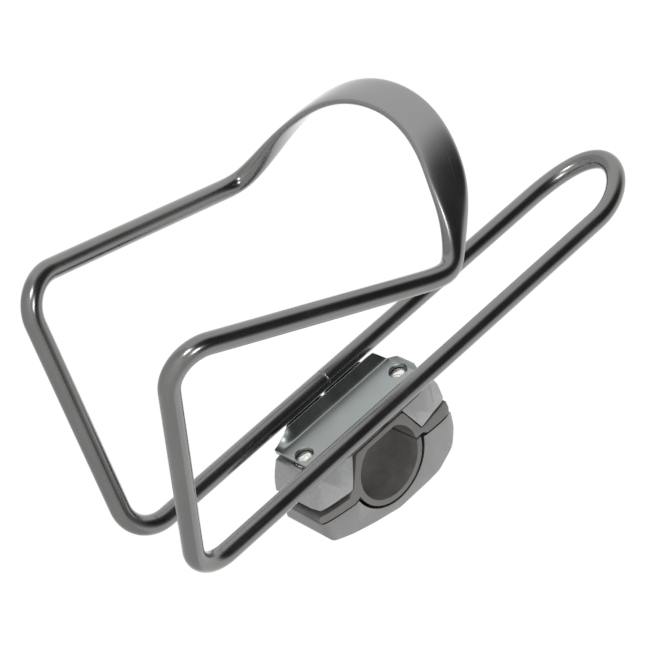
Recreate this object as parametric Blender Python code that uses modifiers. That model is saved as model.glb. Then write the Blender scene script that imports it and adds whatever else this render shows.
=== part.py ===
"""Water bottle cage with a handlebar clamp: one bent solid rod, a pressed plate, and a two-part clamp.

Frame, in metres: the origin is the centre of the clamp's bore. +X runs along the bore (across the cage),
+Z up along the bottle, and the bottle and the cage's open front are on the -Y side.
"""

import math

import bmesh
import bpy
import numpy as np
from mathutils import Matrix, Vector

MM = 0.001

# The rod and its path: positions are of its centreline, in millimetres, for the +X side.
ROD_R = 3.0
RAIL_X = 13.1
RAIL_Y = -20.0
FOOT_Z = -72.5
BEND_TOP_Z = 117.1
BEND_TOP_Y = -24.0
BEND_RISE = 20.6
FRONT_FOOT = (30.1, -102.0, -65.3)
NECK = (43.9, -72.3, 14.9)
NECK_AIM = (39.5, -70.5, 22.3)
BROW_AIM = (30.9, -98.8, 43.1)
BROW = (0.0, -98.8, 43.1)
FOOT_BEND_R = 11.0
FRONT_BEND_R = 10.0
NECK_BLEND = 6
BOTTLE_Y = -60.1
SIDES = 20

# The pressed band at the front of the neck ring.
BAND_THICK = 2.8
BAND_WIDE = 11.6
BAND_FROM = 3.0
BAND_RAMP = 27.0

# The butt seam on the -X rail.
SEAM_Z = 3.0
SEAM_DEEP = 0.22
SEAM_LONG = 0.45

# The pressed mounting plate.
PLATE_FACE_Y = -15.5
PLATE_THICK = 1.4
PLATE_FLOOR_X = 7.2
PLATE_EDGE_X = 9.3
PLATE_RISE = 3.1
PLATE_LOW_Z = -23.0
PLATE_HIGH_Z = 23.4
PLATE_HOLE_R = 2.65

# The weld beads, each an oval in section that leans from the rail's underside towards the plate.
WELD_X = 12.17
WELD_Y = -15.57
WELD_HALF_WIDE = 1.3
WELD_HALF_THICK = 0.9
WELD_LEAN = 42.4

# The clamp.
CLAMP_HALF_X = 10.5
CLAMP_FRONT_Y = -13.7
CLAMP_BACK_Y = 16.9
NARROW_FROM_Z = 11.0
NARROW_LONG = 18.0
FRONT_DRAFT = 0.13
RECESS_TOP_Y = -12.0
BORE_R = 11.5
LINER_WALL = 1.8
LOWER_RECESS_R = 14.6

# The clamp bolts, M5, with their nuts and washers.
BOLT_Z = 19.8
SHANK_R = 2.4
HEAD_R = 4.25
HEAD_LONG = 5.0
SOCKET_AF = 4.0
SOCKET_DEEP = 2.6
BOLT_TIP_Y = -14.9
WASHER_Y = 5.6
WASHER_THICK = 1.0
WASHER_R = 4.9
NUT_R = 3.3
NUT_THICK = 4.0
GAP = 0.3


def clear_scene():
    for obj in list(bpy.data.objects):
        bpy.data.objects.remove(obj, do_unlink=True)
    for collection in list(bpy.data.collections):
        bpy.data.collections.remove(collection)


def new_collection(name, hidden=False):
    collection = bpy.data.collections.new(name)
    bpy.context.scene.collection.children.link(collection)
    collection.hide_render = hidden
    return collection


def material(name, colour, roughness, metallic):
    made = bpy.data.materials.new(name)
    made.use_nodes = True
    shader = made.node_tree.nodes["Principled BSDF"]
    shader.inputs["Base Color"].default_value = (*colour, 1.0)
    shader.inputs["Roughness"].default_value = roughness
    shader.inputs["Metallic"].default_value = metallic
    return made


def make_materials():
    return {
        "rod": material("dark_anodised_rod", (0.085, 0.087, 0.092), 0.24, 1.0),
        "plate": material("grey_plate", (0.36, 0.38, 0.39), 0.42, 0.3),
        "clamp": material("cast_clamp_grey", (0.34, 0.36, 0.37), 0.45, 0.3),
        "back": material("cast_clamp_dark_grey", (0.26, 0.27, 0.28), 0.45, 0.3),
        "liner": material("liner_rubber", (0.075, 0.073, 0.072), 0.8, 0.0),
        "steel": material("plated_steel", (0.72, 0.72, 0.70), 0.25, 1.0),
        "weld": material("painted_weld", (0.10, 0.10, 0.105), 0.5, 0.5),
    }


def fillet(points, radius, steps):
    """The open path through the points with each inner corner turned into an arc of the given radius."""
    path = [Vector(points[0])]
    for before, corner, after, r in zip(points[:-2], points[1:-1], points[2:], radius):
        corner = Vector(corner)
        back = (Vector(before) - corner).normalized()
        on = (Vector(after) - corner).normalized()
        half = back.angle(on) / 2
        reach = r / math.tan(half)
        centre = corner + (back + on).normalized() * (r / math.sin(half))
        start = corner + back * reach - centre
        normal = start.cross(corner + on * reach - centre).normalized()
        for i in range(steps + 1):
            turn = Matrix.Rotation((math.pi - 2 * half) * i / steps, 3, normal)
            path.append(centre + turn @ start)
    path.append(Vector(points[-1]))
    return path


def rounded_outline(corners):
    """A closed flat outline, from (u, v, corner radius) triples, with each corner turned into an arc."""
    outline = []
    count = len(corners)
    for i, (u, v, r) in enumerate(corners):
        if r <= 0:
            outline.append((u, v))
            continue
        before, after = corners[i - 1], corners[(i + 1) % count]
        arc = fillet([(*before[:2], 0), (u, v, 0), (*after[:2], 0)], [r], 3 if r < 2.5 else 6)
        outline += [(p.x, p.y) for p in arc[1:-1]]
    return outline


def mesh_object(name, mesh, collection, look=None, smooth=35):
    obj = bpy.data.objects.new(name, mesh)
    collection.objects.link(obj)
    if look:
        mesh.materials.clear()
        mesh.materials.append(look)
        mesh.shade_smooth()
        mesh.set_sharp_from_angle(angle=math.radians(smooth))
    return obj


def narrow(solid, draft):
    """Narrows a clamp piece towards its two ends, and by the draft share towards the plate."""
    for z in (11, 14, 17, 20, 22, 24, 25.5, 26.7):
        for place in (-z, z):
            geom = solid.verts[:] + solid.edges[:] + solid.faces[:]
            at = (0, 0, place * MM)
            bmesh.ops.bisect_plane(solid, geom=geom, plane_co=at, plane_no=(0, 0, 1), dist=1e-6)
    for vert in solid.verts:
        y, z = vert.co.y / MM, vert.co.z / MM
        along = min(1.0, max(0.0, (abs(z) - NARROW_FROM_Z) / NARROW_LONG))
        forward = min(1.0, max(0.0, (-5.0 - y) / 8.7))
        vert.co.x *= (1 - 0.17 * along**1.3 - 0.2 * along**8) * (1 - draft * forward)


def extrusion(name, outline, half_wide, collection, look=None, draft=None):
    """A flat (y, z) outline, extruded across the cage along X, and narrowed if it is given a draft."""
    curve = bpy.data.curves.new(name, "CURVE")
    curve.dimensions = "2D"
    curve.fill_mode = "BOTH"
    curve.extrude = half_wide * MM
    spline = curve.splines.new("POLY")
    spline.points.add(len(outline) - 1)
    for point, (u, v) in zip(spline.points, outline):
        point.co = (u * MM, v * MM, 0, 1)
    spline.use_cyclic_u = True
    drawn = bpy.data.objects.new(name + "_outline", curve)
    collection.objects.link(drawn)
    graph = bpy.context.evaluated_depsgraph_get()
    mesh = bpy.data.meshes.new_from_object(drawn.evaluated_get(graph))
    bpy.data.objects.remove(drawn, do_unlink=True)
    across = Matrix(((0, 0, 1), (1, 0, 0), (0, 1, 0))).to_4x4()
    solid = bmesh.new()
    solid.from_mesh(mesh)
    bmesh.ops.remove_doubles(solid, verts=solid.verts, dist=1e-6)
    bmesh.ops.transform(solid, matrix=across, verts=solid.verts)
    bmesh.ops.recalc_face_normals(solid, faces=solid.faces)
    if draft is not None:
        narrow(solid, draft)
    solid.to_mesh(mesh)
    solid.free()
    return mesh_object(name, mesh, collection, look)


def along_y(name, radius, y0, y1, z, collection, sides=32, look=None, top_radius=None):
    """A round or many-sided pin along Y from y0 to y1, centred at x = 0 and the given z."""
    solid = bmesh.new()
    end = radius if top_radius is None else top_radius
    bmesh.ops.create_cone(
        solid, cap_ends=True, segments=sides, radius1=radius * MM, radius2=end * MM, depth=(y1 - y0) * MM
    )
    lay = Matrix.Translation((0, (y0 + y1) / 2 * MM, z * MM)) @ Matrix.Rotation(-math.pi / 2, 4, "X")
    bmesh.ops.transform(solid, matrix=lay, verts=solid.verts)
    mesh = bpy.data.meshes.new(name)
    solid.to_mesh(mesh)
    solid.free()
    return mesh_object(name, mesh, collection, look)


def cut(obj, cutter, operation="DIFFERENCE"):
    cutter.hide_render = True
    cutter.display_type = "WIRE"
    change = obj.modifiers.new(operation.lower() + "_" + cutter.name, "BOOLEAN")
    change.operation = operation
    change.solver = "EXACT"
    change.object = cutter


def bevel(obj, width, segments=2, angle=40):
    change = obj.modifiers.new("edge", "BEVEL")
    change.width = width * MM
    change.segments = segments
    change.limit_method = "ANGLE"
    change.angle_limit = math.radians(angle)
    change.harden_normals = False


def dense(path, step):
    """The same path with points no further apart than the step."""
    points = []
    for a, b in zip(path[:-1], path[1:]):
        count = max(1, math.ceil((b - a).length / step))
        points += [a.lerp(b, i / count) for i in range(count)]
    return points + [path[-1]]


def blend(path, reach):
    """Softens the path's corners with a moving average, twice, keeping its first and last points."""
    for _ in range(2):
        values = np.array(path)
        ahead = values[-2 : -reach - 2 : -1] * (-1, 1, 1)
        longer = np.vstack([2 * values[0] - values[reach:0:-1], values, ahead])
        width = 2 * reach + 1
        soft = [longer[i : i + width].mean(axis=0) for i in range(len(values))]
        path = [Vector(p) for p in soft]
    return path


def half_path():
    """The +X half of the rod's centreline, from the middle of the pressed band to the top bend's middle."""
    a, b, c, d = (Vector(p) for p in (NECK, NECK_AIM, BROW_AIM, BROW))
    ring = []
    for i in range(61):
        t = i / 60
        ring.append(a * (1 - t) ** 3 + 3 * b * (1 - t) ** 2 * t + 3 * c * (1 - t) * t * t + d * t**3)
    foot = Vector((RAIL_X, RAIL_Y, FOOT_Z))
    top = Vector((RAIL_X, RAIL_Y, BEND_TOP_Z - BEND_RISE))
    bends = fillet([top, foot, Vector(FRONT_FOOT), a], [FOOT_BEND_R, FRONT_BEND_R], 9)
    neck = blend(dense([bends[-2]] + ring, 1.0), NECK_BLEND)
    neck[-1].x = 0
    arch = []
    for i in range(1, 11):
        t = math.pi / 2 * i / 10
        lean = (BEND_TOP_Y - RAIL_Y) * math.sin(t) ** 2
        arch.append(Vector((RAIL_X * math.cos(t), RAIL_Y + lean, top.z + BEND_RISE * math.sin(t))))
    arch[-1].x = 0
    return list(reversed(neck)) + list(reversed(bends[:-2])) + arch


def sections(path):
    """Chosen (point, tangent, distance from the band's middle) along the path: close where it bends."""
    gone, last, chosen = 0.0, None, []
    for i, point in enumerate(path):
        before, after = path[max(i - 1, 0)], path[min(i + 1, len(path) - 1)]
        tangent = (after - before).normalized()
        if i in (0, len(path) - 1):
            tangent = Vector((1 if i == 0 else -1, 0, 0))
        gone += (point - before).length
        if last:
            turned = math.degrees(last[1].angle(tangent))
            moved = gone - last[2]
            near_band = gone < 95
            wanted = turned > 7 or moved > (4.5 if near_band else 60)
            if not (wanted or i == len(path) - 1) and moved < 60:
                ahead = path[min(i + 1, len(path) - 1)] - point
                if ahead.length < 12:
                    continue
        last = (point, tangent, gone)
        chosen.append(last)
    return chosen


def band_shape(distance, ring_long):
    """(thickness, width) of the rod's section at a distance from the band's middle."""
    left = ring_long - BAND_FROM - distance
    share = min(1.0, max(0.0, left / BAND_RAMP))
    share = share * share * (3 - 2 * share)
    thick = 2 * ROD_R + (BAND_THICK - 2 * ROD_R) * share
    wide = 2 * ROD_R + (BAND_WIDE - 2 * ROD_R) * share
    return thick, wide, share


def make_rod(collection, cutters, looks):
    """One rod bent into a loop, lofted from its round section to the pressed band, and mirrored."""
    path = half_path()
    neck = Vector(NECK)
    chosen = sections(path)
    ring_long = min(chosen, key=lambda s: (s[0] - neck).length)[2]
    solid = bmesh.new()
    rings = []
    out = None
    for point, tangent, distance in chosen:
        if distance <= ring_long:
            out = Vector((point.x, point.y - BOTTLE_Y, 0))
        out = (out - tangent * out.dot(tangent)).normalized()
        side = tangent.cross(out)
        thick, wide, share = band_shape(distance, ring_long)
        power = 1 - 0.35 * share
        ring = []
        for k in range(SIDES):
            angle = 2 * math.pi * (k + 0.5) / SIDES
            u, w = math.cos(angle), math.sin(angle)
            u = math.copysign(abs(u) ** power, u) * thick / 2
            w = math.copysign(abs(w) ** (1 - 0.15 * share), w) * wide / 2
            ring.append(solid.verts.new((point + out * u + side * w) * MM))
        rings.append(ring)
    for ring in (rings[0], rings[-1]):
        for vert in ring:
            vert.co.x = 0
    for a, b in zip(rings[:-1], rings[1:]):
        for k in range(SIDES):
            n = (k + 1) % SIDES
            solid.faces.new((a[k], a[n], b[n], b[k]))
    bmesh.ops.mirror(
        solid,
        geom=solid.verts[:] + solid.edges[:] + solid.faces[:],
        axis="X",
        merge_dist=1e-6,
        matrix=Matrix.Identity(4),
    )
    bmesh.ops.remove_doubles(solid, verts=solid.verts, dist=1e-6)
    bmesh.ops.recalc_face_normals(solid, faces=solid.faces)
    mesh = bpy.data.meshes.new("cage_rod")
    solid.to_mesh(mesh)
    solid.free()
    rod = mesh_object("cage_rod", mesh, collection, looks["rod"])
    cut(rod, seam_cutter(cutters))
    return rod


def seam_cutter(cutters):
    """A thin ring that leaves the fine groove where the rod's two ends meet."""
    solid = bmesh.new()
    turned = []
    low, high = SEAM_Z - SEAM_LONG / 2, SEAM_Z + SEAM_LONG / 2
    profile = ((ROD_R - SEAM_DEEP, SEAM_Z), (ROD_R + 1, high + 0.6), (ROD_R + 1, low - 0.6))
    for i in range(32):
        angle = 2 * math.pi * i / 32
        c, s = math.cos(angle), math.sin(angle)
        turned.append([
            solid.verts.new(Vector((-RAIL_X + r * c, RAIL_Y + r * s, z)) * MM) for r, z in profile
        ])
    for i in range(32):
        a, b = turned[i], turned[(i + 1) % 32]
        for k in range(3):
            n = (k + 1) % 3
            solid.faces.new((a[k], b[k], b[n], a[n]))
    bmesh.ops.recalc_face_normals(solid, faces=solid.faces)
    mesh = bpy.data.meshes.new("seam_cutter")
    solid.to_mesh(mesh)
    solid.free()
    return mesh_object("seam_cutter", mesh, cutters)


def make_plate(collection, cutters, looks):
    """The pressed plate between the rails: a flat floor with raised sides and a raised upper end."""
    bpy.ops.mesh.primitive_grid_add(x_subdivisions=24, y_subdivisions=20, size=2.0)
    plate = bpy.context.object
    plate.name = plate.data.name = "mounting_plate"
    for owner in list(plate.users_collection):
        owner.objects.unlink(plate)
    collection.objects.link(plate)
    middle = (PLATE_LOW_Z + PLATE_HIGH_Z) / 2
    for vert in plate.data.vertices:
        x = vert.co.x * PLATE_EDGE_X
        z = middle + vert.co.y * (PLATE_HIGH_Z - PLATE_LOW_Z) / 2
        aside = min(1.0, max(0.0, (abs(x) - PLATE_FLOOR_X + 0.6) / (PLATE_EDGE_X - PLATE_FLOOR_X + 0.6)))
        above = min(1.0, max(0.0, (z - PLATE_HIGH_Z + 1.5) / 1.5))
        lift = max(PLATE_RISE * aside**1.3, 1.2 * above**1.4)
        taper = min(1.0, max(0.0, (z - PLATE_LOW_Z) / 7.5))
        lift *= taper * taper * (3 - 2 * taper)
        vert.co = Vector((x, PLATE_FACE_Y - lift, z)) * MM
    plate.data.materials.append(looks["plate"])
    plate.data.shade_smooth()
    shell = plate.modifiers.new("thickness", "SOLIDIFY")
    shell.thickness = PLATE_THICK * MM
    shell.offset = -1
    shell.use_even_offset = True
    low, high, edge = PLATE_LOW_Z - 1, PLATE_HIGH_Z + 0.3, PLATE_EDGE_X + 2
    corners = [(-edge, low, 5.5), (edge, low, 5.5), (edge, high, 10.4), (-edge, high, 10.4)]
    trim = extrusion("plate_trim", rounded_outline(corners), 12, cutters)
    trim.matrix_world = Matrix.Translation((0, -15 * MM, 0)) @ Matrix.Rotation(math.pi / 2, 4, "Z")
    cut(plate, trim, "INTERSECT")
    for name, z in (("low", -BOLT_Z), ("high", BOLT_Z)):
        cut(plate, along_y("plate_hole_" + name, PLATE_HOLE_R, -20, -8, z, cutters))
    return plate


def make_welds(collection, looks):
    """The four weld beads that join the plate's raised sides to the undersides of the rails."""
    for side, x in (("left", -1), ("right", 1)):
        for end, z, long in (("low", -7.1, 7.8), ("high", 9.1, 8.05)):
            name = f"weld_{side}_{end}"
            solid = bmesh.new()
            bmesh.ops.create_uvsphere(solid, u_segments=16, v_segments=12, radius=1.0)
            for vert in solid.verts:
                vert.co.z = math.copysign(abs(vert.co.z) ** 0.4, vert.co.z)
            size = Matrix.Diagonal((WELD_HALF_WIDE * MM, WELD_HALF_THICK * MM, long * MM, 1))
            turn = Matrix.Rotation(math.radians(90 + x * WELD_LEAN), 4, "Z")
            place = Matrix.Translation(Vector((x * WELD_X, WELD_Y, z)) * MM)
            bmesh.ops.transform(solid, matrix=place @ turn @ size, verts=solid.verts)
            mesh = bpy.data.meshes.new(name)
            solid.to_mesh(mesh)
            solid.free()
            mesh_object(name, mesh, collection, looks["weld"], 80)


def make_upper_half(collection, cutters, looks):
    """The clamp's upper half, against the plate: a tapered block with a flat-topped recess for the liner."""
    front = CLAMP_FRONT_Y
    outline = [
        (front, 24.2, 1.0),
        (-8.4, 26.2, 2.0),
        (-2.6, 26.4, 0.8),
        (-2.6, 20.9, 1.5),
        (-1.9, 16.0, 0.6),
        (-1.9, 14.72, 0.3),
        (RECESS_TOP_Y, 10.2, 0.8),
        (RECESS_TOP_Y, -10.2, 0.8),
        (-1.9, -14.72, 0.3),
        (-1.7, -15.8, 0.5),
        (-2.4, -26.2, 0.8),
        (-5.0, -28.4, 1.0),
        (-8.8, -27.2, 2.0),
        (front, -24.4, 0.5),
    ]
    corners = rounded_outline(outline)
    half = extrusion("clamp_upper_half", corners, CLAMP_HALF_X, collection, looks["clamp"], FRONT_DRAFT)
    bevel(half, 0.7)
    for name, z in (("low", -BOLT_Z), ("high", BOLT_Z)):
        cut(half, along_y("nut_pocket_" + name, NUT_R + GAP, -15, front + NUT_THICK + 0.6, z, cutters, 28))
        cut(half, along_y("upper_hole_" + name, 2.8, -15, 0, z, cutters))
    return half


def make_lower_half(collection, cutters, looks):
    """The clamp's lower half: a rounded bridge with a flat back, a round recess and sunk bolt heads."""
    outline = [(4.3, 28.4, 1.0), (9.3, 27.3, 3.0), (14.2, 23.6, 4.0), (CLAMP_BACK_Y, 16.0, 6.0)]
    outline += [(CLAMP_BACK_Y, -1.5, 9.0), (12.3, -19.0, 9.0), (10.0, -25.8, 2.5), (6.5, -27.7, 1.8)]
    outline += [(2.7, -27.2, 0.9), (3.7, -15.3, 0.5)]
    low = math.acos(3.9 / LOWER_RECESS_R)
    high = math.acos(2.3 / LOWER_RECESS_R)
    for i in range(21):
        t = -low + (low + high) * i / 20
        outline.append((LOWER_RECESS_R * math.cos(t) - 0.6, LOWER_RECESS_R * math.sin(t), 0))
    outline.append((2.2, 15.6, 0.5))
    corners = rounded_outline(outline)
    half = extrusion("clamp_lower_half", corners, CLAMP_HALF_X, collection, looks["back"], 0)
    bevel(half, 0.7)
    for name, z in (("low", -BOLT_Z), ("high", BOLT_Z)):
        cut(half, along_y("head_pocket_" + name, WASHER_R + GAP, WASHER_Y - GAP, 25, z, cutters, 40))
        cut(half, along_y("lower_hole_" + name, 2.8, -5, WASHER_Y, z, cutters))
    return half


def make_liner(collection, cutters, looks):
    """The rubber liner: a sleeve slit on one side, with a tab that runs out between the halves each way."""
    outer_r = BORE_R + LINER_WALL
    top = RECESS_TOP_Y + GAP
    high_tab = [(-1.6, 14.32, 0.2), (-1.2, 16.3, 0.3), (-1.5, 21.0, 1.0), (-1.2, 27.2, 1.2)]
    high_tab += [(3.7, 28.0, 1.2), (1.8, 16.2, 0.4), (0.3, 14.6, 0.3)]
    low_tab = [(3.3, -15.4, 0.4), (2.2, -27.4, 0.9), (-0.3, -27.2, 0.9), (0.3, -16.4, 0.5)]
    low_tab += [(-1.4, -15.3, 0.3), (-1.6, -14.32, 0.2)]
    slit_low = 0.9
    turn = math.asin(slit_low / BORE_R)
    bore = []
    for i in range(37):
        t = math.pi / 2 + (2 * math.pi - turn) * i / 36
        bore.append((max(BORE_R * math.cos(t), -10.0), BORE_R * math.sin(t), 0))
    start = math.acos(slit_low / outer_r)
    sweep = start + math.acos(2.5 / outer_r)
    arc = []
    for i in range(17):
        t = start - sweep * i / 16
        arc.append((outer_r * math.cos(t), outer_r * math.sin(t), 0))
    outline = [(top, 9.8, 1.5)] + high_tab + bore + arc + low_tab + [(top, -9.8, 1.5)]
    corners = rounded_outline(outline)
    liner = extrusion("liner", corners, CLAMP_HALF_X - 0.25, collection, looks["liner"], 0)
    for name, z in (("low", -BOLT_Z), ("high", BOLT_Z)):
        cut(liner, along_y("tab_hole_" + name, 2.95, -8, 6, z, cutters))
    bevel(liner, 0.3, 1, 50)
    return liner


def make_bolts(collection, cutters, looks):
    """Two socket-head bolts from the back, each with its washer and its press nut behind the plate."""
    steel = looks["steel"]
    seat = WASHER_Y + WASHER_THICK + GAP
    top = seat + HEAD_LONG
    tip = BOLT_TIP_Y + 0.5
    for name, z in (("low", -BOLT_Z), ("high", BOLT_Z)):
        bolt = along_y("bolt_" + name, HEAD_R, seat, top, z, collection, 32, steel)
        bevel(bolt, 0.35)
        cut(bolt, along_y("shank_" + name, SHANK_R, tip, seat + 1, z, cutters, 24), "UNION")
        end = along_y("tip_" + name, SHANK_R - 0.5, BOLT_TIP_Y, tip + 0.001, z, cutters, 24, None, SHANK_R)
        cut(bolt, end, "UNION")
        socket = SOCKET_AF / 2 / math.cos(math.pi / 6)
        cut(bolt, along_y("socket_" + name, socket, top - SOCKET_DEEP, top + 1, z, cutters, 6))
        move_origin(bolt, Vector((0, 0, z * MM)))
        top_y = WASHER_Y + WASHER_THICK
        washer = along_y("washer_" + name, WASHER_R, WASHER_Y, top_y, z, collection, 32, steel)
        cut(washer, along_y("washer_hole_" + name, 2.75, WASHER_Y - 1, top_y + 1, z, cutters))
        y = CLAMP_FRONT_Y
        nut = along_y("nut_" + name, NUT_R, y, y + NUT_THICK, z, collection, 28, steel)
        cut(nut, along_y("nut_hole_" + name, 2.75, y - 1, y + NUT_THICK + 1, z, cutters))


def move_origin(obj, place):
    """Puts the object's origin on its turning axis without moving its shape."""
    obj.data.transform(Matrix.Translation(-place))
    obj.location = place


def main():
    clear_scene()
    cage = new_collection("bottle_cage")
    cutters = new_collection("cutters", hidden=True)
    looks = make_materials()
    make_rod(cage, cutters, looks)
    make_plate(cage, cutters, looks)
    make_welds(cage, looks)
    make_upper_half(cage, cutters, looks)
    make_lower_half(cage, cutters, looks)
    make_liner(cage, cutters, looks)
    make_bolts(cage, cutters, looks)


main()
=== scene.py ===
"""Looks for the water bottle cage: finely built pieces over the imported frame, materials, lights and camera.

Lengths are in millimetres in the row frame until they are multiplied by MM. The origin is the centre of the
clamp's bore, +X runs across the cage, +Z up along the bottle, and the bottle stands on the -Y side.
"""

import math

import bmesh
import bpy
import numpy as np
from mathutils import Matrix, Quaternion, Vector, noise


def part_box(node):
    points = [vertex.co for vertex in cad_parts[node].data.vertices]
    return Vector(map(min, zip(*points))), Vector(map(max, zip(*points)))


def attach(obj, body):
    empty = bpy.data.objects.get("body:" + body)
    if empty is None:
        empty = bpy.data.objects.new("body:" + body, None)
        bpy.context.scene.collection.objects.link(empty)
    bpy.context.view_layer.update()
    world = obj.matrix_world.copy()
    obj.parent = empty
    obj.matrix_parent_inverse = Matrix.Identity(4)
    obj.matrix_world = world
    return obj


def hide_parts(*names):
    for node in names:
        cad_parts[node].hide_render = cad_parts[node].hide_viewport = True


MM = 0.001

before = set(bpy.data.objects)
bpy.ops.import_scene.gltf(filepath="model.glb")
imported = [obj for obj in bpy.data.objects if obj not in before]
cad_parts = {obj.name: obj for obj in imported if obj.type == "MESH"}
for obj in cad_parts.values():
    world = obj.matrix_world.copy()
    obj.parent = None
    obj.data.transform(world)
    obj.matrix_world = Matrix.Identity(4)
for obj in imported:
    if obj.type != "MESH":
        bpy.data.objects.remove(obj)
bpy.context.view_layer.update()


def node_box(node):
    """(low, high) of a CAD node in millimetres."""
    low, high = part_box(node)
    return low / MM, high / MM


# Sizes that the frame gives.

PLATE_LOW, PLATE_HIGH = node_box("mounting_plate")
UPPER_LOW, UPPER_HIGH = node_box("clamp_upper_half")
LOWER_HIGH = node_box("clamp_lower_half")[1]
LINER_HIGH = node_box("liner")[1]

# The rod and its path, for the +X side.
ROD_R = 2.92
RAIL_X = 13.1
RAIL_Y = -20.0
FOOT_Z = -72.5
BEND_TOP_Z = 117.1
BEND_TOP_Y = -24.0
BEND_RISE = 20.6
FRONT_FOOT = (30.1, -102.0, -65.3)
NECK = (43.9, -72.3, 14.9)
NECK_AIM = (39.5, -70.5, 22.3)
BROW_AIM = (30.9, -98.8, 43.1)
BROW = (0.0, -98.8, 43.1)
FOOT_BEND_R = 11.0
FRONT_BEND_R = 10.0
NECK_BLEND = 6
BOTTLE_Y = -60.1
SIDES = 40
BAND_THICK = 2.8
BAND_WIDE = 11.6
BAND_FROM = 3.0
BAND_RAMP = 27.0
SEAM_Z = 3.0
SEAM_DEEP = 0.2
SEAM_HALF_LONG = 0.16

# The plate.
PLATE_FACE_Y = -15.5
PLATE_THICK = 1.4
PLATE_FLOOR_X = 7.2
PLATE_EDGE_X = 9.3
PLATE_RISE = 3.1
PLATE_FOLD = 0.6
PLATE_LIP_LONG = 1.5
PLATE_LIP_RISE = 1.2
PLATE_TAPER_LONG = 7.5
PLATE_HOLE_R = 2.65

# The weld beads.
WELD_X = 12.17
WELD_Y = -15.57
WELD_HALF_WIDE = 1.28
WELD_HALF_THICK = 0.88
WELD_LEAN = 42.4

# The clamp. It narrows from NARROW_FROM_Z on, slowly at first and then sharply at its tips. The upper half
# also narrows towards the plate, from DRAFT_FROM_Y on.
CLAMP_HALF_X = UPPER_HIGH.x
CLAMP_FRONT_Y = UPPER_LOW.y
CLAMP_BACK_Y = LOWER_HIGH.y
NARROW_FROM_Z = 11.0
NARROW_LONG = 18.0
NARROW_SHARE = 0.17
TIP_SHARE = 0.2
NARROW_CUTS_Z = (11, 14, 17, 20, 22, 24, 25, 26, 26.7, 27.3, 27.8)
DRAFT_FROM_Y = -5.0
DRAFT_LONG = 8.7
FRONT_DRAFT = 0.13
RECESS_TOP_Y = -12.0
BORE_R = 11.5
LINER_WALL = 1.8
LOWER_RECESS_R = 14.6
CAST_EDGE_R = 0.7
CLEARANCE_R = 2.8
LINER_HOLE_R = 2.95

# The bolts, with their washers and nuts.
BOLT_Z = 19.8
SHANK_R = 2.4
THREAD_PITCH = 0.8
THREAD_DEEP = 0.38
HEAD_R = 4.25
HEAD_LONG = 5.0
HEAD_RIBS = 44
SOCKET_AF = 4.0
SOCKET_DEEP = 2.6
BOLT_TIP_Y = -14.9
WASHER_Y = 5.6
WASHER_THICK = 1.0
WASHER_R = 4.9
NUT_R = 3.3
NUT_THICK = 4.0
GAP = 0.3

# The camera, at the photograph's viewing angle.
CAMERA_AT = (0.43205, -0.44189, -0.27907)
CAMERA_AZIMUTH = 47.62
CAMERA_ELEVATION = -25.61
CAMERA_ROLL = 49.24
CAMERA_LENS = 129.05

# The dark part of the studio. DARK_TALL says how much taller it is than wide.
DARK_AZIMUTH = 62.0
DARK_ELEVATION = 4.0
DARK_HALF_ANGLE = 46.0
DARK_SOFTNESS = 17.0
DARK_TALL = 2.2
DARK_LEVEL = 0.06
PALE_LEVEL = 1.35

# The softboxes, in metres from the middle of the object, and the floor's height in metres.
LIT_POINT = (0, -0.04, 0.02)
LIGHT_DISTANCE = 0.8
FLOOR_HEIGHT = -0.45


# ---------------------------------------------------------------- building


def fillet(points, radii, steps):
    """The open path through the points with each inner corner turned into an arc of its radius."""
    path = [Vector(points[0])]
    for before, corner, after, r in zip(points[:-2], points[1:-1], points[2:], radii):
        corner = Vector(corner)
        back = (Vector(before) - corner).normalized()
        on = (Vector(after) - corner).normalized()
        half = back.angle(on) / 2
        reach = r / math.tan(half)
        centre = corner + (back + on).normalized() * (r / math.sin(half))
        start = corner + back * reach - centre
        normal = start.cross(corner + on * reach - centre).normalized()
        for i in range(steps + 1):
            turn = Matrix.Rotation((math.pi - 2 * half) * i / steps, 3, normal)
            path.append(centre + turn @ start)
    path.append(Vector(points[-1]))
    return path


def rounded_outline(corners, steps=8):
    """A closed flat outline, from (u, v, corner radius) triples, with each corner turned into an arc."""
    outline = []
    count = len(corners)
    for i, (u, v, r) in enumerate(corners):
        if r <= 0:
            outline.append((u, v))
            continue
        before, after = corners[i - 1], corners[(i + 1) % count]
        arc = fillet([(*before[:2], 0), (u, v, 0), (*after[:2], 0)], [r], steps)
        outline += [(p.x, p.y) for p in arc[1:-1]]
    return outline


def new_object(name, solid, body, look, smooth=35):
    """Turns a bmesh into a piece that rides on a body, with its material and smooth shading."""
    mesh = bpy.data.meshes.new(name)
    solid.to_mesh(mesh)
    solid.free()
    obj = bpy.data.objects.new(name, mesh)
    bpy.context.scene.collection.objects.link(obj)
    if look:
        mesh.materials.append(look)
    mesh.shade_smooth()
    mesh.set_sharp_from_angle(angle=math.radians(smooth))
    if body:
        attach(obj, body)
    return obj


def bake_modifiers(obj, smooth=35):
    """Replaces the object's mesh with what its modifiers make of it, and removes their cutters."""
    graph = bpy.context.evaluated_depsgraph_get()
    mesh = bpy.data.meshes.new_from_object(obj.evaluated_get(graph))
    cutters = [m.object for m in obj.modifiers if m.type == "BOOLEAN"]
    obj.modifiers.clear()
    old, obj.data = obj.data, mesh
    bpy.data.meshes.remove(old)
    for cutter in cutters:
        bpy.data.objects.remove(cutter, do_unlink=True)
    mesh.shade_smooth()
    mesh.set_sharp_from_angle(angle=math.radians(smooth))


def cut(obj, cutter, operation="DIFFERENCE"):
    """Adds a Boolean to the object, which bake_modifiers applies."""
    cutter.hide_render = True
    change = obj.modifiers.new(operation.lower(), "BOOLEAN")
    change.operation = operation
    change.solver = "EXACT"
    change.object = cutter


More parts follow.
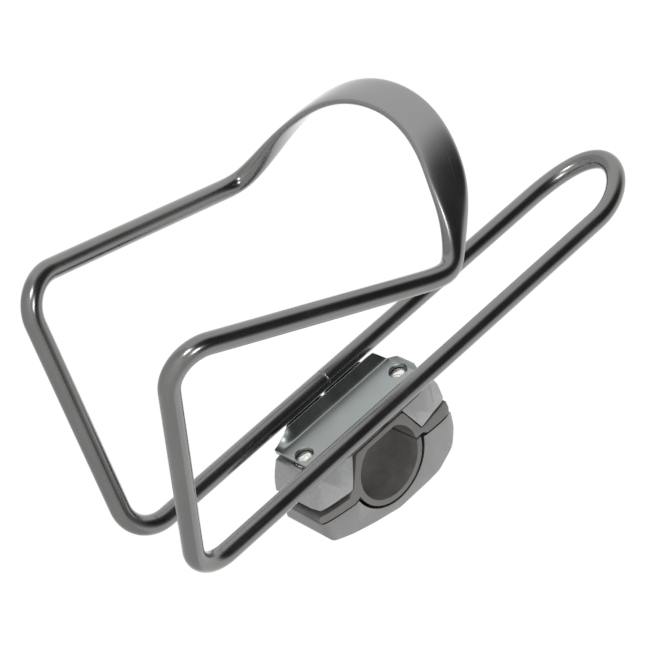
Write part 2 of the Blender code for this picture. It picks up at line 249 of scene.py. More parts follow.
def bevel(obj, width, segments, angle):
    """Adds rounding to the object's edges that are sharper than the angle in degrees."""
    change = obj.modifiers.new("edge", "BEVEL")
    change.width = width * MM
    change.segments = segments
    change.limit_method = "ANGLE"
    change.angle_limit = math.radians(angle)
    change.use_clamp_overlap = True


def narrow(solid, draft):
    """Narrows a clamp piece towards its two ends, and by the draft share towards the plate."""
    for z in NARROW_CUTS_Z:
        for place in (-z, z):
            everything = solid.verts[:] + solid.edges[:] + solid.faces[:]
            at = (0, 0, place * MM)
            bmesh.ops.bisect_plane(
                solid, geom=everything, plane_co=at, plane_no=(0, 0, 1), dist=1e-6
            )
    for vert in solid.verts:
        y, z = vert.co.y / MM, vert.co.z / MM
        along = min(1.0, max(0.0, (abs(z) - NARROW_FROM_Z) / NARROW_LONG))
        forward = min(1.0, max(0.0, (DRAFT_FROM_Y - y) / DRAFT_LONG))
        narrowed = 1 - NARROW_SHARE * along**1.3 - TIP_SHARE * along**8
        vert.co.x *= narrowed * (1 - draft * forward)


def extrusion(name, outline, half_wide, look=None, draft=None):
    """A flat (y, z) outline, extruded across the cage along X, and narrowed if it is given a draft."""
    curve = bpy.data.curves.new(name, "CURVE")
    curve.dimensions = "2D"
    curve.fill_mode = "BOTH"
    curve.extrude = half_wide * MM
    spline = curve.splines.new("POLY")
    spline.points.add(len(outline) - 1)
    for point, (u, v) in zip(spline.points, outline):
        point.co = (u * MM, v * MM, 0, 1)
    spline.use_cyclic_u = True
    drawn = bpy.data.objects.new(name, curve)
    bpy.context.scene.collection.objects.link(drawn)
    graph = bpy.context.evaluated_depsgraph_get()
    mesh = bpy.data.meshes.new_from_object(drawn.evaluated_get(graph))
    bpy.data.objects.remove(drawn, do_unlink=True)
    solid = bmesh.new()
    solid.from_mesh(mesh)
    bpy.data.meshes.remove(mesh)
    bmesh.ops.remove_doubles(solid, verts=solid.verts, dist=1e-6)
    across = Matrix(((0, 0, 1), (1, 0, 0), (0, 1, 0))).to_4x4()
    bmesh.ops.transform(solid, matrix=across, verts=solid.verts)
    bmesh.ops.recalc_face_normals(solid, faces=solid.faces)
    if draft is not None:
        narrow(solid, draft)
    return new_object(name, solid, None, look)


def turned(profile, z, sides=48, shape=None):
    """A bmesh turned about an axis along Y at x = 0 and the given z, from (radius, y) pairs.

    The profile is closed if its first radius isn't 0, as a ring's is, and otherwise it ends on the axis.
    shape(angle, radius, y) may change the radius round the turn, for threads and ribs.
    """
    solid = bmesh.new()
    rings = []
    for r, y in profile:
        if r <= 0:
            rings.append([solid.verts.new(Vector((0, y, z)) * MM)])
            continue
        ring = []
        for i in range(sides):
            angle = 2 * math.pi * i / sides
            at = shape(angle, r, y) if shape else r
            place = Vector((at * math.cos(angle), y, z + at * math.sin(angle)))
            ring.append(solid.verts.new(place * MM))
        rings.append(ring)
    closed = len(rings[0]) > 1
    pairs = list(zip(rings[:-1], rings[1:])) + ([(rings[-1], rings[0])] if closed else [])
    for a, b in pairs:
        for i in range(sides):
            n = (i + 1) % sides
            if len(a) == 1:
                solid.faces.new((a[0], b[i], b[n]))
            elif len(b) == 1:
                solid.faces.new((a[n], a[i], b[0]))
            else:
                solid.faces.new((a[n], a[i], b[i], b[n]))
    bmesh.ops.recalc_face_normals(solid, faces=solid.faces)
    return solid


def hole_cutter(radius, y0, y1, z, flare=0.0):
    """A round cutter along Y, from y0 to y1 and 1 mm past each, with an optional flared mouth at y0."""
    profile = [(0, y0 - 1), (radius + flare, y0 - 1)]
    if flare:
        profile.append((radius + flare, y0))
    profile += [(radius, y0 + flare), (radius, y1), (radius, y1 + 1), (0, y1 + 1)]
    return new_object("cutter", turned(profile, z), None, None)


# ---------------------------------------------------------------- the rod


def dense(path, step):
    """The same path with points no further apart than the step."""
    points = []
    for a, b in zip(path[:-1], path[1:]):
        count = max(1, math.ceil((b - a).length / step))
        points += [a.lerp(b, i / count) for i in range(count)]
    return points + [path[-1]]


def blend(path, reach):
    """Softens the path's corners with a moving average, twice, keeping its first and last points."""
    for _ in range(2):
        values = np.array(path)
        ahead = values[-2 : -reach - 2 : -1] * (-1, 1, 1)
        longer = np.vstack([2 * values[0] - values[reach:0:-1], values, ahead])
        width = 2 * reach + 1
        soft = [longer[i : i + width].mean(axis=0) for i in range(len(values))]
        path = [Vector(p) for p in soft]
    return path


def half_path():
    """The rod's centreline, from the pressed band's middle, round the +X side, to the top bend's middle."""
    a, b, c, d = (Vector(p) for p in (NECK, NECK_AIM, BROW_AIM, BROW))
    ring = []
    for i in range(61):
        t = i / 60
        leaving = a * (1 - t) ** 3 + 3 * b * (1 - t) ** 2 * t
        ring.append(leaving + 3 * c * (1 - t) * t * t + d * t**3)
    foot = Vector((RAIL_X, RAIL_Y, FOOT_Z))
    top = Vector((RAIL_X, RAIL_Y, BEND_TOP_Z - BEND_RISE))
    bends = fillet([top, foot, Vector(FRONT_FOOT), a], [FOOT_BEND_R, FRONT_BEND_R], 20)
    neck = blend(dense([bends[-2]] + ring, 1.0), NECK_BLEND)
    neck[-1].x = 0
    arch = []
    for i in range(1, 25):
        t = math.pi / 2 * i / 24
        lean = (BEND_TOP_Y - RAIL_Y) * math.sin(t) ** 2
        arch.append(Vector((RAIL_X * math.cos(t), RAIL_Y + lean, top.z + BEND_RISE * math.sin(t))))
    arch[-1].x = 0
    near_seam = (-1.5, -0.5, -0.3, -0.15, 0, 0.15, 0.3, 0.5, 1.5)
    seam = [Vector((RAIL_X, RAIL_Y, SEAM_Z + off)) for off in near_seam]
    return list(reversed(neck)) + list(reversed(bends[1:-2])) + seam + [top] + arch


def band_share(distance, ring_long):
    """0 where the rod is round and 1 where it is fully pressed, at a distance from the band's middle."""
    share = min(1.0, max(0.0, (ring_long - BAND_FROM - distance) / BAND_RAMP))
    return share * share * (3 - 2 * share)


def rod_sections():
    """(point, tangent, distance) along the half path, and the distance at which the neck is reached."""
    path = half_path()
    gone = 0.0
    made = []
    for i, point in enumerate(path):
        before, after = path[max(i - 1, 0)], path[min(i + 1, len(path) - 1)]
        tangent = (after - before).normalized()
        if i in (0, len(path) - 1):
            tangent = Vector((1 if i == 0 else -1, 0, 0))
        gone += (point - before).length
        made.append((point, tangent, gone))
    neck = Vector(NECK)
    return made, min(made, key=lambda s: (s[0] - neck).length)[2]


def seam_groove(point):
    """How much the rod's radius drops where its two ends meet, on the -X rail only."""
    off = point.z - SEAM_Z
    if point.x > 0 or abs(off) > 1 or abs(point.y - RAIL_Y) > 0.1:
        return 0.0
    return SEAM_DEEP * math.exp(-((off / SEAM_HALF_LONG) ** 2))


def build_rod(look):
    """The whole loop as one loft, with its length and turn kept as an attribute that the material reads."""
    sections, ring_long = rod_sections()
    total = sections[-1][2]
    rows = []
    out = None
    for point, tangent, distance in sections:
        if distance <= ring_long:
            out = Vector((point.x, point.y - BOTTLE_Y, 0))
        out = (out - tangent * out.dot(tangent)).normalized()
        side = tangent.cross(out)
        share = band_share(distance, ring_long)
        thick = 2 * ROD_R + (BAND_THICK - 2 * ROD_R) * share
        wide = 2 * ROD_R + (BAND_WIDE - 2 * ROD_R) * share
        offsets = []
        for k in range(SIDES):
            angle = 2 * math.pi * (k + 0.5) / SIDES
            u, w = math.cos(angle), math.sin(angle)
            u = math.copysign(abs(u) ** (1 - 0.35 * share), u) * thick / 2
            w = math.copysign(abs(w) ** (1 - 0.15 * share), w) * wide / 2
            offsets.append((out * u + side * w, angle))
        rows.append((point, offsets, distance))
    solid = bmesh.new()
    flow = solid.verts.layers.float_vector.new("flow")
    pressed = solid.verts.layers.float.new("pressed")
    rings = []
    flip = Matrix.Diagonal((-1, 1, 1))
    order = [(row, False) for row in rows] + [(row, True) for row in reversed(rows[1:-1])]
    for (point, offsets, distance), left in order:
        ring = []
        groove = seam_groove(flip @ point) if left else 0.0
        for offset, angle in offsets:
            place = point + offset * (1 - groove / ROD_R)
            vert = solid.verts.new((flip @ place if left else place) * MM)
            along = 2 * total - distance if left else distance
            vert[flow] = (math.cos(angle) * ROD_R * MM, math.sin(angle) * ROD_R * MM, along * MM)
            vert[pressed] = band_share(distance, ring_long)
            ring.append(vert)
        rings.append(ring)
    for a, b in zip(rings, rings[1:] + rings[:1]):
        for k in range(SIDES):
            n = (k + 1) % SIDES
            solid.faces.new((a[k], a[n], b[n], b[k]))
    bmesh.ops.recalc_face_normals(solid, faces=solid.faces)
    rod = new_object("rod", solid, "cage", look, 60)
    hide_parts("cage_rod")


# ---------------------------------------------------------------- the plate and welds


def plate_lift(x, z):
    """How far the pressed plate rises towards the bottle at a point of its outline."""
    side_wide = PLATE_EDGE_X - PLATE_FLOOR_X + PLATE_FOLD
    aside = min(1.0, max(0.0, (abs(x) - PLATE_FLOOR_X + PLATE_FOLD) / side_wide))
    above = min(1.0, max(0.0, (z - PLATE_HIGH.z + PLATE_LIP_LONG) / PLATE_LIP_LONG))
    taper = min(1.0, max(0.0, (z - PLATE_LOW.z) / PLATE_TAPER_LONG))
    lift = max(PLATE_RISE * aside**1.3, PLATE_LIP_RISE * above**1.4)
    return lift * taper * taper * (3 - 2 * taper)


def build_plate(look):
    """The pressed plate, finely divided, with rounded rims and dimpled bolt holes."""
    solid = bmesh.new()
    across, along = 76, 120
    grid = []
    for j in range(along + 1):
        z = PLATE_LOW.z + (PLATE_HIGH.z - PLATE_LOW.z) * j / along
        row = []
        for i in range(across + 1):
            x = PLATE_EDGE_X * (2 * i / across - 1)
            row.append(solid.verts.new(Vector((x, PLATE_FACE_Y - plate_lift(x, z), z)) * MM))
        grid.append(row)
    for a, b in zip(grid[:-1], grid[1:]):
        for i in range(across):
            solid.faces.new((a[i], a[i + 1], b[i + 1], b[i]))
    plate = new_object("plate", solid, None, look)
    shell = plate.modifiers.new("thickness", "SOLIDIFY")
    shell.thickness = PLATE_THICK * MM
    shell.offset = -1
    shell.use_even_offset = True
    low, high, edge = PLATE_LOW.z - 1, PLATE_HIGH.z + 0.3, PLATE_EDGE_X + 2
    corners = [(-edge, low, 5.5), (edge, low, 5.5), (edge, high, 10.4), (-edge, high, 10.4)]
    trim = extrusion("cutter", rounded_outline(corners, 16), 12)
    trim.data.transform(Matrix.Translation((0, -15 * MM, 0)) @ Matrix.Rotation(math.pi / 2, 4, "Z"))
    cut(plate, trim, "INTERSECT")
    for z in (-BOLT_Z, BOLT_Z):
        cut(plate, hole_cutter(PLATE_HOLE_R, PLATE_FACE_Y, PLATE_FACE_Y + 2.5, z, 0.3))
    bake_modifiers(plate)
    bevel(plate, 0.22, 2, 50)
    bake_modifiers(plate, 50)
    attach(plate, "cage")
    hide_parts("mounting_plate")


def build_welds(look):
    """Weld beads behind the gaps between rails and plate, with the ripples that the torch leaves."""
    for side, x in (("left", -1), ("right", 1)):
        for end, z, long in (("low", -7.1, 7.8), ("high", 9.1, 8.05)):
            solid = bmesh.new()
            bmesh.ops.create_uvsphere(solid, u_segments=32, v_segments=96, radius=1.0)
            seed = Vector((x * 7.0, 0, z))
            for vert in solid.verts:
                p = vert.co.copy()
                p.z = math.copysign(abs(p.z) ** 0.3, p.z)
                lump = 0.97 + 0.015 * math.cos(p.z * long * 5.2) + 0.03 * noise.noise(p * 3 + seed)
                wide, thick = WELD_HALF_WIDE * lump, WELD_HALF_THICK * lump
                vert.co = Vector((p.x * wide, p.y * thick, p.z * long))
            turn = Matrix.Rotation(math.radians(90 + x * WELD_LEAN), 4, "Z")
            place = Matrix.Translation((x * WELD_X, WELD_Y, z))
            matrix = Matrix.Scale(MM, 4) @ place @ turn
            bmesh.ops.transform(solid, matrix=matrix, verts=solid.verts)
            name = f"weld_bead_{side}_{end}"
            bead = new_object(name, solid, "cage", look, 80)
            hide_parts(f"weld_{side}_{end}")


# ---------------------------------------------------------------- the clamp


def build_upper_half(look):
    """The clamp's upper half, with soft cast edges."""
    front = CLAMP_FRONT_Y
    outline = [
        (front, 24.2, 1.0),
        (-8.4, 26.2, 2.0),
        (-2.6, 26.4, 0.8),
        (-2.6, 20.9, 1.5),
        (-1.9, 16.0, 0.6),
        (-1.9, 14.72, 0.3),
        (RECESS_TOP_Y, 10.2, 0.8),
        (RECESS_TOP_Y, -10.2, 0.8),
        (-1.9, -14.72, 0.3),
        (-1.7, -15.8, 0.5),
        (-2.4, -26.2, 0.8),
        (-5.0, -28.4, 1.0),
        (-8.8, -27.2, 2.0),
        (front, -24.4, 0.5),
    ]
    half = extrusion("clamp_upper", rounded_outline(outline), CLAMP_HALF_X, look, FRONT_DRAFT)
    bevel(half, CAST_EDGE_R, 4, 40)
    for z in (-BOLT_Z, BOLT_Z):
        cut(half, hole_cutter(NUT_R + GAP, front, front + NUT_THICK + 0.6, z, 0.15))
        cut(half, hole_cutter(CLEARANCE_R, front - 1, 0, z))
    bake_modifiers(half)
    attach(half, "cage")
    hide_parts("clamp_upper_half")


def build_lower_half(look):
    """The clamp's lower half, with soft cast edges and sunk seats for the bolt heads."""
    outline = [(4.3, 28.4, 1.0), (9.3, 27.3, 3.0), (14.2, 23.6, 4.0), (CLAMP_BACK_Y, 16.0, 6.0)]
    outline += [(CLAMP_BACK_Y, -1.5, 9.0), (12.3, -19.0, 9.0), (10.0, -25.8, 2.5), (6.5, -27.7, 1.8)]
    outline += [(2.7, -27.2, 0.9), (3.7, -15.3, 0.5)]
    low = math.acos(3.9 / LOWER_RECESS_R)
    high = math.acos(2.3 / LOWER_RECESS_R)
    for i in range(61):
        t = -low + (low + high) * i / 60
        outline.append((LOWER_RECESS_R * math.cos(t) - 0.6, LOWER_RECESS_R * math.sin(t), 0))
    outline.append((2.2, 15.6, 0.5))
    half = extrusion("clamp_lower", rounded_outline(outline), CLAMP_HALF_X, look, 0)
    bevel(half, CAST_EDGE_R, 4, 40)
    for z in (-BOLT_Z, BOLT_Z):
        cut(half, hole_cutter(WASHER_R + GAP, WASHER_Y - GAP, 25, z))
        cut(half, hole_cutter(CLEARANCE_R, -5, WASHER_Y, z))
    bake_modifiers(half)
    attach(half, "lower_half")
    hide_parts("clamp_lower_half")


def build_liner(look):
    """The rubber liner, with rounded edges and its slit and tabs."""
    outer_r = BORE_R + LINER_WALL
    top = RECESS_TOP_Y + GAP
    high_tab = [(-1.6, 14.32, 0.2), (-1.2, 16.3, 0.3), (-1.5, 21.0, 1.0), (-1.2, 27.2, 1.2)]
    high_tab += [(3.7, 28.0, 1.2), (1.8, 16.2, 0.4), (0.3, 14.6, 0.3)]
    low_tab = [(3.3, -15.4, 0.4), (2.2, -27.4, 0.9), (-0.3, -27.2, 0.9), (0.3, -16.4, 0.5)]
    low_tab += [(-1.4, -15.3, 0.3), (-1.6, -14.32, 0.2)]
    slit_low = 0.9
    turn = math.asin(slit_low / BORE_R)
    bore = []
    for i in range(97):
        t = math.pi / 2 + (2 * math.pi - turn) * i / 96
        bore.append((max(BORE_R * math.cos(t), -10.0), BORE_R * math.sin(t), 0))
    start = math.acos(slit_low / outer_r)
    sweep = start + math.acos(2.5 / outer_r)
    arc = []
    for i in range(49):
        t = start - sweep * i / 48
        arc.append((outer_r * math.cos(t), outer_r * math.sin(t), 0))
    outline = [(top, 9.8, 1.5)] + high_tab + bore + arc + low_tab + [(top, -9.8, 1.5)]
    liner = extrusion("rubber_liner", rounded_outline(outline, 6), LINER_HIGH.x, look, 0)
    for z in (-BOLT_Z, BOLT_Z):
        cut(liner, hole_cutter(LINER_HOLE_R, -8, 6, z))
    bake_modifiers(liner)
    bevel(liner, 0.3, 2, 50)
    bake_modifiers(liner)
    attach(liner, "liner")
    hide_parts("liner")


# ---------------------------------------------------------------- the fasteners


def thread_radius(angle, radius, y):
    """The bolt's radius on its helical thread, or on the ribs round its head."""
    seat = WASHER_Y + WASHER_THICK + GAP
    if seat + 0.6 < y < seat + HEAD_LONG - 0.6:
        return radius - 0.09 * (0.5 + 0.5 * math.cos(angle * HEAD_RIBS))
    if BOLT_TIP_Y + 0.5 < y < seat - 1.5:
        phase = (y / THREAD_PITCH - angle / (2 * math.pi)) % 1.0
        return radius - THREAD_DEEP * abs(2 * phase - 1)
    return radius


def build_bolts(look):
    """Two socket-head bolts with a rolled thread and a ribbed head."""
    seat = WASHER_Y + WASHER_THICK + GAP
    top = seat + HEAD_LONG
    for name, z in (("low", -BOLT_Z), ("high", BOLT_Z)):
        profile = [(0, BOLT_TIP_Y), (SHANK_R - 0.75, BOLT_TIP_Y)]
        profile.append((SHANK_R - 0.45, BOLT_TIP_Y + 0.25))
        y = BOLT_TIP_Y + 0.5
        while y < seat - 1.5:
            profile.append((SHANK_R, y))
            y += 0.1
        profile += [(SHANK_R, seat - 1.4), (SHANK_R, seat - 0.1), (SHANK_R + 0.3, seat)]
        profile += [(HEAD_R - 0.3, seat), (HEAD_R, seat + 0.3)]
        profile += [(HEAD_R, seat + 0.59), (HEAD_R, seat + 0.61)]
        profile += [(HEAD_R, top - 0.61), (HEAD_R, top - 0.59), (HEAD_R - 0.12, top - 0.2)]
        profile += [(HEAD_R - 0.4, top - 0.02), (HEAD_R - 0.6, top), (0, top)]
        bolt = new_object("bolt_m5_" + name, turned(profile, z, 176, thread_radius), None, look, 40)
        socket = SOCKET_AF / 2 / math.cos(math.pi / 6)
        well = [(0, top - SOCKET_DEEP - 0.8), (socket, top - SOCKET_DEEP), (socket, top - 0.25)]
        well += [(socket + 0.3, top + 0.05), (socket + 0.3, top + 1), (0, top + 1)]
        cut(bolt, new_object("cutter", turned(well, z, 6), None, None, 10))
        bake_modifiers(bolt, 40)
        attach(bolt, "bolt_" + name)
        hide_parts("bolt_" + name)


def build_washers(look):
    """Flat washers with the rounded rim that stamping leaves."""
    for name, z in (("low", -BOLT_Z), ("high", BOLT_Z)):
        y0, y1 = WASHER_Y, WASHER_Y + WASHER_THICK
        profile = [(2.75, y0 + 0.1), (2.85, y0), (WASHER_R - 0.1, y0), (WASHER_R, y0 + 0.12)]
        profile += [(WASHER_R, y1 - 0.25), (WASHER_R - 0.08, y1 - 0.08), (WASHER_R - 0.25, y1)]
        profile += [(2.9, y1), (2.75, y1 - 0.12)]
        washer = new_object("flat_washer_" + name, turned(profile, z, 96), "lower_half", look, 50)
        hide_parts("washer_" + name)


def build_nuts(look):
    """Round press nuts with rounded rims."""
    for name, z in (("low", -BOLT_Z), ("high", BOLT_Z)):
        y0, y1 = CLAMP_FRONT_Y + 0.02, CLAMP_FRONT_Y + NUT_THICK
        profile = [(2.62, y0 + 0.3), (2.9, y0), (NUT_R - 0.2, y0), (NUT_R, y0 + 0.2)]
        profile += [(NUT_R, y1 - 0.2), (NUT_R - 0.2, y1), (2.9, y1), (2.62, y1 - 0.3)]
        nut = new_object("press_nut_" + name, turned(profile, z, 96), "cage", look, 40)
        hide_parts("nut_" + name)


# ---------------------------------------------------------------- materials


class Shader:
    """A Principled material with short helpers for its node tree."""

    def __init__(self, name, colour, metallic, roughness, specular=0.5):
        self.material = bpy.data.materials.new(name)
        self.material.use_nodes = True
        self.tree = self.material.node_tree
        self.bsdf = self.tree.nodes["Principled BSDF"]
        self.set("Base Color", (*colour, 1.0))
        self.set("Metallic", metallic)
        self.set("Roughness", roughness)
        self.set("Specular IOR Level", specular)

    def set(self, socket, value):
        """Sets a constant on one of the shader's own sockets."""
        self.bsdf.inputs[socket].default_value = value

    def node(self, kind, **values):
        made = self.tree.nodes.new(kind)
        for key, value in values.items():
            setattr(made, key, value)
        return made

    def link(self, start, end):
        self.tree.links.new(start, end)

    def coordinates(self, scale=(1, 1, 1), attribute=None):
        """Object coordinates, or a vector attribute, times a scale along each axis."""
        if attribute:
            source = self.node("ShaderNodeAttribute", attribute_name=attribute).outputs["Vector"]
        else:
            source = self.node("ShaderNodeTexCoord").outputs["Object"]
        mapping = self.node("ShaderNodeMapping")
        mapping.inputs["Scale"].default_value = scale
        self.link(source, mapping.inputs["Vector"])
        return mapping.outputs["Vector"]

    def noise(self, vector, scale, detail=4.0, rough=0.55):
        made = self.node("ShaderNodeTexNoise")
        made.inputs["Scale"].default_value = scale
        made.inputs["Detail"].default_value = detail
        made.inputs["Roughness"].default_value = rough
        self.link(vector, made.inputs["Vector"])
        return made.outputs["Fac"]

    def span(self, value, low, high, to_low, to_high):
        """Maps a value from one range to another, clamped."""
        made = self.node("ShaderNodeMapRange")
        for key, number in zip(("From Min", "From Max", "To Min", "To Max"), (low, high, to_low, to_high)):
            made.inputs[key].default_value = number
        self.link(value, made.inputs["Value"])
        return made.outputs["Result"]

    def math(self, operation, a, b):
        made = self.node("ShaderNodeMath", operation=operation)
        for socket, value in zip(made.inputs, (a, b)):
            if isinstance(value, (int, float)):
                socket.default_value = value
            else:
                self.link(value, socket)
        return made.outputs["Value"]

    def mix(self, factor, a, b):
        """Colour a where the factor is 0 and b where it is 1."""
        made = self.node("ShaderNodeMix", data_type="RGBA")
        self.link(factor, made.inputs["Factor"])
        for key, value in (("A", a), ("B", b)):
            socket = [s for s in made.inputs if s.name == key and s.type == "RGBA"][0]
            if isinstance(value, tuple):
                socket.default_value = (*value, 1.0)
            else:
                self.link(value, socket)
        return [s for s in made.outputs if s.type == "RGBA"][0]

    def facing_x(self):
        """How far the surface faces along the object's X axis, from -1 to 1."""
        parts = self.node("ShaderNodeSeparateXYZ")
        self.link(self.node("ShaderNodeTexCoord").outputs["Normal"], parts.inputs["Vector"])
        return parts.outputs["X"]

    def edge_wear(self, low, high):
        """1 on the sharpest outer edges and 0 on flat faces and in hollows, broken up by a fine noise."""
        edge = self.node("ShaderNodeNewGeometry").outputs["Pointiness"]
        patchy = self.span(self.noise(self.coordinates(), 900, 4, 0.6), 0.35, 0.65, 0.3, 1.0)
        return self.math("MULTIPLY", self.span(edge, low, high, 0.0, 1.0), patchy)

    def bump(self, height, strength, distance_mm, normal=None):
        """A bump of the given depth, on top of an earlier one if there is one."""
        made = self.node("ShaderNodeBump")
        made.inputs["Strength"].default_value = strength
        made.inputs["Distance"].default_value = distance_mm * MM
        self.link(height, made.inputs["Height"])
        if normal:
            self.link(normal, made.inputs["Normal"])
        return made.outputs["Normal"]

    def finish(self, colour, roughness=None, normal=None):
        """Links the colour, roughness and normal into the shader, and gives back the material."""
        for socket, value in (("Base Color", colour), ("Roughness", roughness), ("Normal", normal)):
            if value:
                self.link(value, self.bsdf.inputs[socket])
        return self.material


def rod_look():
    """Dark anodised rod: drawing lines along it, faint mottling, scratches, and a paler pressed band."""
    s = Shader("dark_anodised_rod", (0.17, 0.172, 0.178), 1.0, 0.16)
    along = s.coordinates((1, 1, 0.03), "flow")
    lines = s.noise(along, 2600, 3)
    fine = s.noise(s.coordinates(), 1500, 3)
    broad = s.noise(s.coordinates(), 60, 4)
    scratch = s.noise(s.coordinates((1, 1, 0.012), "flow"), 6500, 2, 0.7)
    rubbed = s.span(scratch, 0.66, 0.74, 0.0, 1.0)
    tone = s.mix(broad, (0.148, 0.148, 0.147), (0.203, 0.203, 0.201))
    pressed = s.node("ShaderNodeAttribute", attribute_name="pressed").outputs["Fac"]
    tone = s.mix(s.math("MULTIPLY", pressed, 0.6), tone, (0.26, 0.262, 0.26))
    tone = s.mix(s.math("MULTIPLY", rubbed, 0.35), tone, (0.34, 0.34, 0.34))
    rough = s.span(broad, 0.3, 0.7, 0.18, 0.26)
    rough = s.math("ADD", rough, s.math("MULTIPLY", rubbed, 0.12))
    normal = s.bump(lines, 0.05, 0.03)
    normal = s.bump(fine, 0.035, 0.03, normal)
    return s.finish(tone, rough, normal)


def plate_look():
    """Satin grey pressed plate: a faint grain down its length, painted shade on its +X-facing flank, and
    rubbed edges.
    """
    s = Shader("satin_grey_plate", (0.25, 0.265, 0.268), 1.0, 0.24)
    grain = s.noise(s.coordinates((1, 1, 0.06)), 2400, 3)
    cloud = s.noise(s.coordinates(), 140, 4)
    tone = s.mix(cloud, (0.262, 0.286, 0.283), (0.318, 0.342, 0.338))
    tone = s.mix(s.math("MULTIPLY", s.edge_wear(0.53, 0.6), 0.5), tone, (0.42, 0.43, 0.43))
    # Painted shade: faces turned towards +X are darkened to near black, standing in for the shade that the
    # flank beside the rail sits in.
    painted_shade_flank = s.span(s.facing_x(), 0.45, 0.75, 0.0, 0.7)
    tone = s.mix(painted_shade_flank, tone, (0.1, 0.102, 0.104))
    rough = s.span(cloud, 0.3, 0.7, 0.28, 0.38)
    normal = s.bump(grain, 0.05, 0.02)
    normal = s.bump(s.noise(s.coordinates(), 900, 3), 0.03, 0.03, normal)
    return s.finish(tone, rough, normal)


def cast_look(name, low, high):
    """Satin painted casting, between two tones: fine pebbling, small dull specks and rubbed edges."""
    s = Shader(name, low, 0.9, 0.36)
    cloud = s.noise(s.coordinates(), 110, 5)
    speck = s.span(s.noise(s.coordinates(), 1700, 2, 0.6), 0.66, 0.72, 0.0, 1.0)
    tone = s.mix(cloud, low, high)
    tone = s.mix(s.math("MULTIPLY", speck, 0.35), tone, tuple(c * 0.55 for c in low))
    tone = s.mix(s.math("MULTIPLY", s.edge_wear(0.53, 0.6), 0.45), tone, tuple(c * 1.6 for c in low))
    rough = s.span(cloud, 0.3, 0.7, 0.3, 0.44)
    normal = s.bump(s.noise(s.coordinates(), 1300, 3), 0.16, 0.05)
    normal = s.bump(s.noise(s.coordinates(), 260, 3), 0.1, 0.12, normal)
    return s.finish(tone, rough, normal)


def rubber_look():
    """Dark grey rubber: matt, faintly dusty, with painted light on its end faces, and a fine moulded grain.
    """
    s = Shader("liner_rubber", (0.06, 0.058, 0.057), 0.0, 0.68, 0.4)
    dust = s.noise(s.coordinates(), 220, 5, 0.6)
    tone = s.mix(s.span(dust, 0.4, 0.75, 0.0, 1.0), (0.075, 0.072, 0.07), (0.12, 0.115, 0.112))
    # Painted light: the end faces, which face along X, are painted paler, as if they catch the light.
    painted_light_ends = s.span(s.math("ABSOLUTE", s.facing_x(), 0.0), 0.4, 0.9, 0.0, 0.75)
    tone = s.mix(painted_light_ends, tone, (0.19, 0.184, 0.18))
    rough = s.span(dust, 0.3, 0.7, 0.6, 0.8)
    normal = s.bump(s.noise(s.coordinates(), 2600, 2), 0.22, 0.04)
    normal = s.bump(s.noise(s.coordinates((0.05, 1, 1)), 700, 2), 0.12, 0.06, normal)
    return s.finish(tone, rough, normal)


def steel_look():
    """Bright zinc-plated steel with turning marks and a faint warm tint in places."""
    s = Shader("zinc_plated_steel", (0.72, 0.72, 0.7), 1.0, 0.22)
    cloud = s.noise(s.coordinates(), 500, 4)
    tone = s.mix(cloud, (0.78, 0.78, 0.77), (0.62, 0.6, 0.55))
    rough = s.span(cloud, 0.3, 0.7, 0.15, 0.34)
    normal = s.bump(s.noise(s.coordinates(), 3200, 2), 0.08, 0.03)
    return s.finish(tone, rough, normal)


def weld_look():
    """Painted weld bead, darker and rougher than the rod."""
    s = Shader("painted_weld", (0.1, 0.1, 0.105), 0.8, 0.4)
    cloud = s.noise(s.coordinates(), 700, 4)
    tone = s.mix(cloud, (0.05, 0.05, 0.053), (0.09, 0.089, 0.088))
    normal = s.bump(s.noise(s.coordinates(), 1200, 4), 0.25, 0.08)
    return s.finish(tone, s.span(cloud, 0.3, 0.7, 0.45, 0.65), normal)


# ---------------------------------------------------------------- stage


def toward(azimuth, elevation):
    """The direction at an azimuth from the cage's front, towards +X, and an elevation, in degrees."""
    a, e = math.radians(azimuth), math.radians(elevation)
    return Vector((math.sin(a) * math.cos(e), -math.cos(a) * math.cos(e), math.sin(e)))


def view_directions():
    """The camera's rotation, and its backward, upward and rightward directions."""
    back = toward(CAMERA_AZIMUTH, CAMERA_ELEVATION)
    turn = back.to_track_quat("Z", "Y") @ Quaternion((0, 0, 1), math.radians(CAMERA_ROLL))
    return turn, back, turn @ Vector((0, 1, 0)), turn @ Vector((1, 0, 0))


def add_camera():
    """The camera, rolled so that the cage leans across the picture."""
    data = bpy.data.cameras.new("camera")
    camera = bpy.data.objects.new("camera", data)
    bpy.context.scene.collection.objects.link(camera)
    camera.rotation_mode = "QUATERNION"
    camera.location = CAMERA_AT
    camera.rotation_quaternion = view_directions()[0]
    data.sensor_width = 36
    data.lens = CAMERA_LENS
    data.clip_start, data.clip_end = 0.02, 50
    bpy.context.scene.camera = camera


def add_softbox(name, direction, size, power):
    """A soft square light that faces the middle of the object."""
    data = bpy.data.lights.new(name, "AREA")
    data.size = size
    data.energy = power
    light = bpy.data.objects.new(name, data)
    bpy.context.scene.collection.objects.link(light)
    direction = direction.normalized()
    light.location = Vector(LIT_POINT) + direction * LIGHT_DISTANCE
    light.rotation_mode = "QUATERNION"
    light.rotation_quaternion = direction.to_track_quat("Z", "Y")


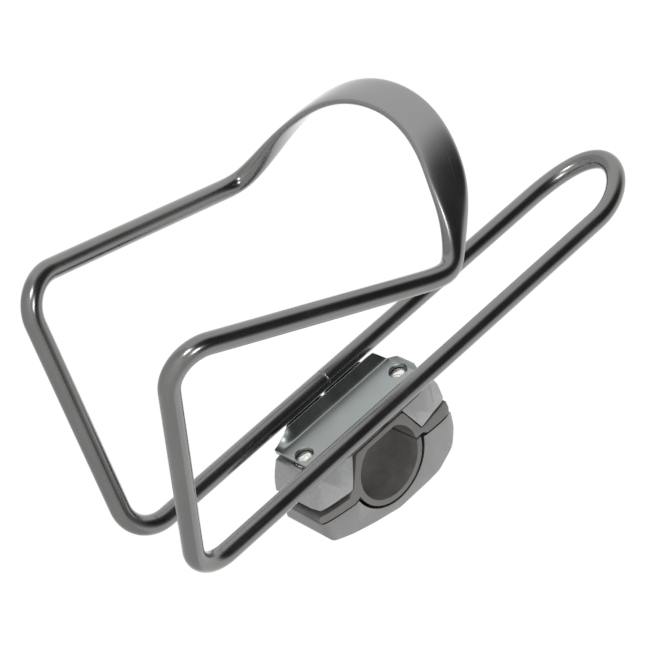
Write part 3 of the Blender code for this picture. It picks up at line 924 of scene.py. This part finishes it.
def add_world():
    """A pale studio all round, with a tall dark opening on the camera's side that the metal reflects."""
    world = bpy.data.worlds.new("studio")
    bpy.context.scene.world = world
    world.use_nodes = True
    tree = world.node_tree
    tree.nodes.clear()
    new, link = tree.nodes.new, tree.links.new
    dot = new("ShaderNodeVectorMath")
    dot.operation = "DOT_PRODUCT"
    dot.inputs[1].default_value = toward(DARK_AZIMUTH, DARK_ELEVATION)
    squash = new("ShaderNodeVectorMath")
    squash.operation = "MULTIPLY"
    squash.inputs[1].default_value = (1, 1, 1 / DARK_TALL)
    link(new("ShaderNodeTexCoord").outputs["Generated"], squash.inputs[0])
    level = new("ShaderNodeVectorMath")
    level.operation = "NORMALIZE"
    link(squash.outputs["Vector"], level.inputs[0])
    link(level.outputs["Vector"], dot.inputs[0])
    reach = new("ShaderNodeMapRange")
    reach.interpolation_type = "SMOOTHSTEP"
    inner = math.cos(math.radians(DARK_HALF_ANGLE - DARK_SOFTNESS))
    outer = math.cos(math.radians(DARK_HALF_ANGLE + DARK_SOFTNESS))
    limits = {"From Min": outer, "From Max": inner, "To Min": PALE_LEVEL, "To Max": DARK_LEVEL}
    for key, number in limits.items():
        reach.inputs[key].default_value = number
    link(dot.outputs["Value"], reach.inputs["Value"])
    tent = new("ShaderNodeBackground")
    tent.inputs["Color"].default_value = (1.0, 1.0, 0.995, 1)
    link(reach.outputs["Result"], tent.inputs["Strength"])
    backdrop = new("ShaderNodeBackground")
    backdrop.inputs["Color"].default_value = (1, 1, 1, 1)
    mix = new("ShaderNodeMixShader")
    link(new("ShaderNodeLightPath").outputs["Is Camera Ray"], mix.inputs[0])
    link(tent.outputs[0], mix.inputs[1])
    link(backdrop.outputs[0], mix.inputs[2])
    link(mix.outputs[0], new("ShaderNodeOutputWorld").inputs["Surface"])


def add_floor():
    """A pale floor, well below the cage, which hangs from a handlebar."""
    solid = bmesh.new()
    bmesh.ops.create_grid(solid, x_segments=1, y_segments=1, size=6.0)
    floor = new_object("floor", solid, None, None)
    floor.location = (0, 0, FLOOR_HEIGHT)
    s = Shader("pale_floor", (0.86, 0.86, 0.86), 0.0, 0.8)
    tone = s.mix(s.noise(s.coordinates(), 3, 3), (0.84, 0.84, 0.84), (0.88, 0.88, 0.88))
    floor.data.materials.append(s.finish(tone))


def light_the_stage():
    """Two small bright softboxes on either side of the camera."""
    _, back, up, right = view_directions()
    add_softbox("key", back + up * 0.35 - right * 0.2, 0.16, 1.5)
    add_softbox("fill", back - up * 0.05 + right * 0.4, 0.15, 1.3)


bpy.context.scene.view_settings.view_transform = "Standard"
build_rod(rod_look())
build_plate(plate_look())
build_welds(weld_look())
build_upper_half(cast_look("satin_grey_casting", (0.24, 0.245, 0.243), (0.3, 0.305, 0.303)))
build_lower_half(cast_look("satin_dark_casting", (0.2, 0.202, 0.2), (0.262, 0.264, 0.262)))
build_liner(rubber_look())
steel = steel_look()
build_bolts(steel)
build_washers(steel)
build_nuts(steel)
add_camera()
add_world()
light_the_stage()
add_floor()
